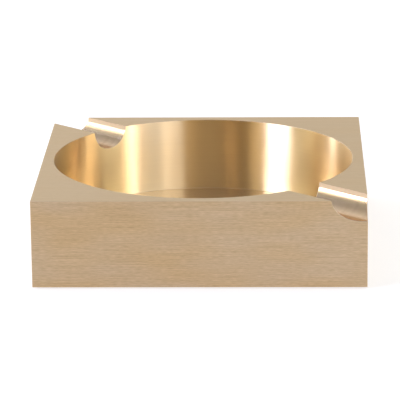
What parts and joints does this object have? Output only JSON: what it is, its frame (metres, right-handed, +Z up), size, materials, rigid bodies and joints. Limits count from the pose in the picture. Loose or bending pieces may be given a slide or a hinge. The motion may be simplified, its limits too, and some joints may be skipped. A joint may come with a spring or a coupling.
{
  "type": "ashtray",
  "caption": "Square solid brass ashtray with a round milled bowl, half-round cigarette grooves running out over two opposite corners, and rubber feet set into the underside.",
  "frame": {"origin": "under the middle of the block, on the surface that the feet stand on", "axes": "+Z up out of the bowl, +X to the right and -Y towards the viewer in the picture, so the grooves run out over the back left and the front right corner"},
  "size_m": [0.075, 0.075, 0.0204],
  "materials": {
    "brass": "brushed outside, satin turned bowl",
    "rubber": "matte",
    "adhesive": "matte film"
  },
  "bodies": {
    "root": {"brass_body": "brass", "foot_front_left": "rubber", "foot_front_right": "rubber", "foot_back_left": "rubber", "foot_back_right": "rubber", "adhesive_front_left": "adhesive", "adhesive_front_right": "adhesive", "adhesive_back_left": "adhesive", "adhesive_back_right": "adhesive"}
  },
  "joints": []
}
